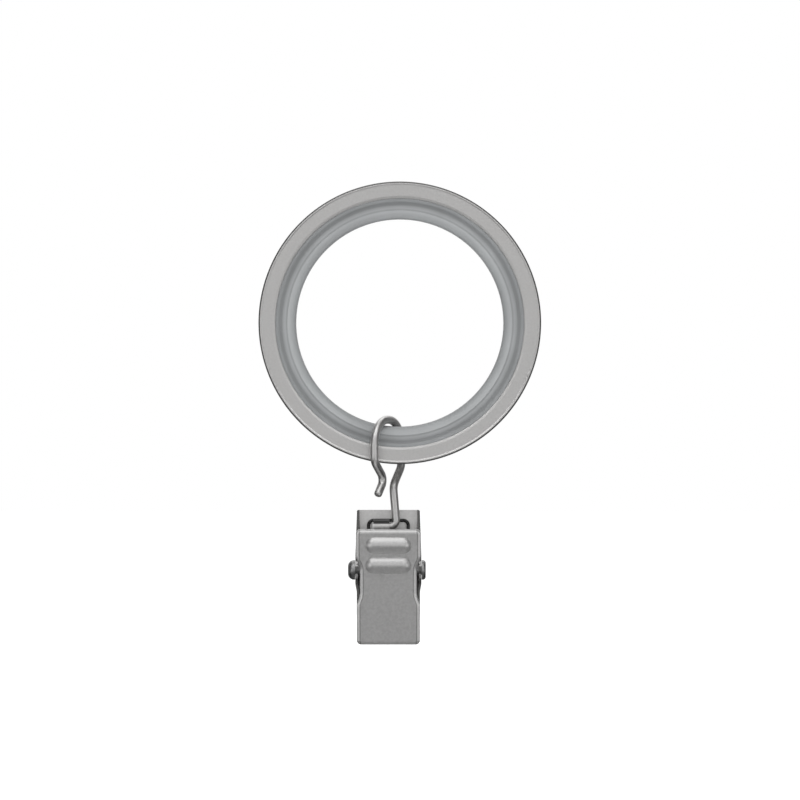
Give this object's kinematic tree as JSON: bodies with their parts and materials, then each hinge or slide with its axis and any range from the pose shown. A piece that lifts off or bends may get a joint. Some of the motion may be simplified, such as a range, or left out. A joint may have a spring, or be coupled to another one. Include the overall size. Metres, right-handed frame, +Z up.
{
  "type": "curtain ring with clip",
  "caption": "Flat-faced metal curtain ring with a plastic liner and a wire hook that carries a sprung pinch clip for hanging fabric from a rod.",
  "frame": {"origin": "centre of the ring, on the axis of its bore", "axes": "+Y along the ring's axis, away from the front of the clip; +Z up, from the clip to the ring; +X to the right seen from the front"},
  "size_m": [0.0518, 0.0098, 0.0849],
  "materials": {
    "ring_metal": "satin silver lacquer",
    "liner_plastic": "smooth translucent plastic",
    "wire_steel": "satin drawn wire",
    "clip_metal": "fine-grained silver-grey lacquer",
    "rivet_steel": "satin"
  },
  "bodies": {
    "ring": {"metal_ring": "ring_metal", "glide_liner": "liner_plastic"},
    "hook": {"wire_hook": "wire_steel"},
    "back_half": {"back_jaw": "clip_metal", "pivot_pin": "rivet_steel", "torsion_spring": "wire_steel"},
    "front_half": {"front_jaw": "clip_metal"}
  },
  "joints": [
    {"name": "hook_travel", "type": "hinge", "parent": "ring", "child": "hook", "pos_m": [0, 0, 0], "axis": [0, 1, 0], "continuous": true},
    {"name": "clip_swing", "type": "hinge", "parent": "hook", "child": "back_half", "pos_m": [-0.0021, 0.00185, -0.03735], "axis": [-1, 0, 0], "range_deg": [0, 50]},
    {"name": "jaw_open", "type": "hinge", "parent": "back_half", "child": "front_half", "pos_m": [-0.0021, 0, -0.0453], "axis": [-1, 0, 0], "range_deg": [0, 24], "stiffness_Nm_per_rad": 0.08, "springref_deg": -45.84, "deforming": ["torsion_spring"]}
  ]
}
